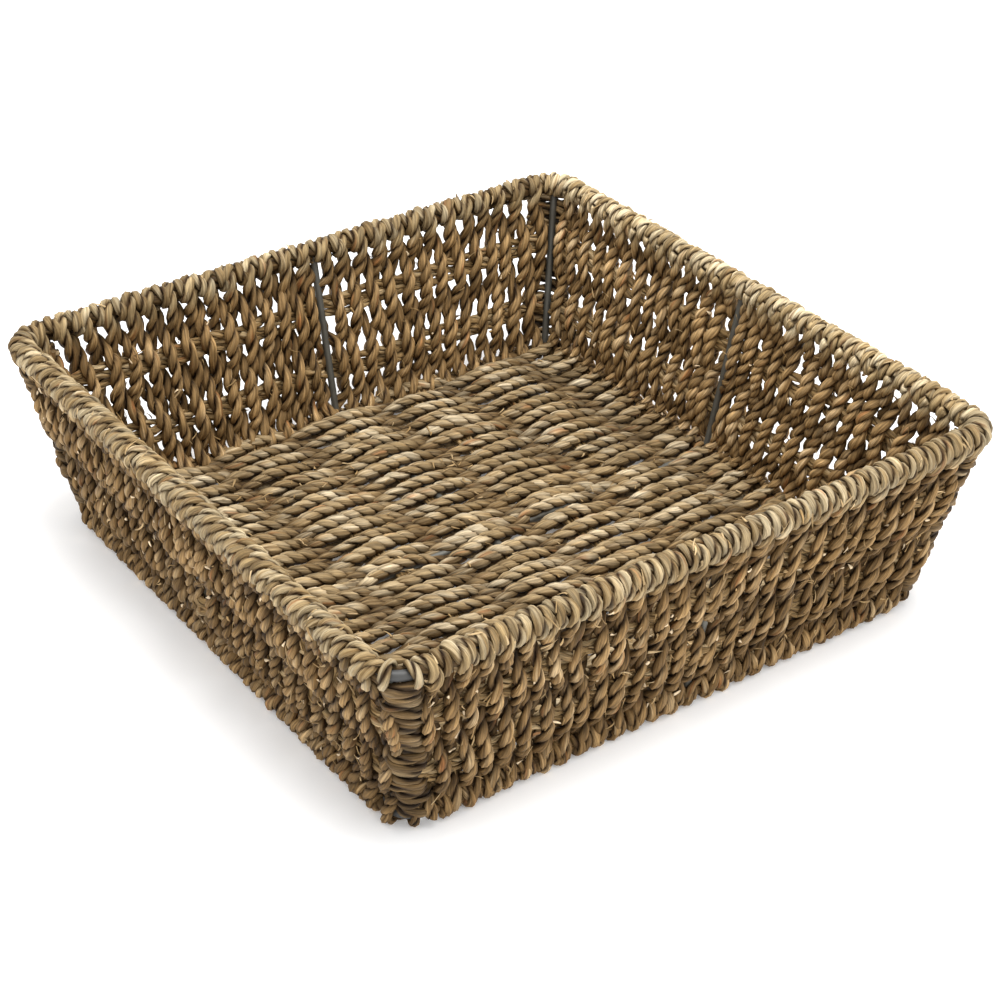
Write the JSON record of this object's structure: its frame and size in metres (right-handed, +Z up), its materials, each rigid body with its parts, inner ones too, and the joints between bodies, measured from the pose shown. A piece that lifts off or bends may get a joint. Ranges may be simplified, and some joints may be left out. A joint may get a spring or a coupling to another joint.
{
  "type": "storage basket",
  "caption": "Shallow square open basket of twisted seagrass cord woven over a bent steel wire frame, with flared sides and a wrapped rim.",
  "frame": {"origin": "centre of the underside, on the surface the basket stands on", "axes": "+Z up through the middle of the basket, +X along the floor cords, +Y across them"},
  "size_m": [0.363, 0.363, 0.1095],
  "materials": {
    "frame_wire": "dull dark grey steel wire, lightly oiled",
    "ring_wire": "bare drawn steel wire, slightly shiny",
    "seagrass_rim": "pale dry twisted seagrass, fibrous, faint sheen",
    "seagrass_wall": "brown and olive twisted seagrass, fibrous, faint sheen",
    "seagrass_weft": "loose untwisted seagrass blades",
    "seagrass_floor": "thick lumpy twisted seagrass"
  },
  "bodies": {
    "root": {"rim_ring": "ring_wire", "base_ring": "ring_wire", "corner_post_front": "frame_wire", "corner_post_right": "frame_wire", "corner_post_back": "frame_wire", "corner_post_left": "frame_wire", "side_post_front_right": "frame_wire", "side_post_back_right": "frame_wire", "side_post_back_left": "frame_wire", "side_post_front_left": "frame_wire", "floor_wire_across": "frame_wire", "floor_wire_lengthwise": "frame_wire", "rim_wrap_front_right": "seagrass_rim", "rim_wrap_back_right": "seagrass_rim", "rim_wrap_back_left": "seagrass_rim", "rim_wrap_front_left": "seagrass_rim", "base_wrap": "seagrass_wall", "wall_cords_front_right": "seagrass_wall", "wall_cords_back_right": "seagrass_wall", "wall_cords_back_left": "seagrass_wall", "wall_cords_front_left": "seagrass_wall", "weft_low_front_right": "seagrass_weft", "weft_low_back_right": "seagrass_weft", "weft_low_back_left": "seagrass_weft", "weft_low_front_left": "seagrass_weft", "weft_high_front_right": "seagrass_weft", "weft_high_back_right": "seagrass_weft", "weft_high_back_left": "seagrass_weft", "weft_high_front_left": "seagrass_weft", "corner_lacing_front": "seagrass_wall", "corner_lacing_right": "seagrass_wall", "corner_lacing_back": "seagrass_wall", "corner_lacing_left": "seagrass_wall", "floor_cords": "seagrass_floor", "floor_wefts": "seagrass_weft"}
  },
  "joints": []
}
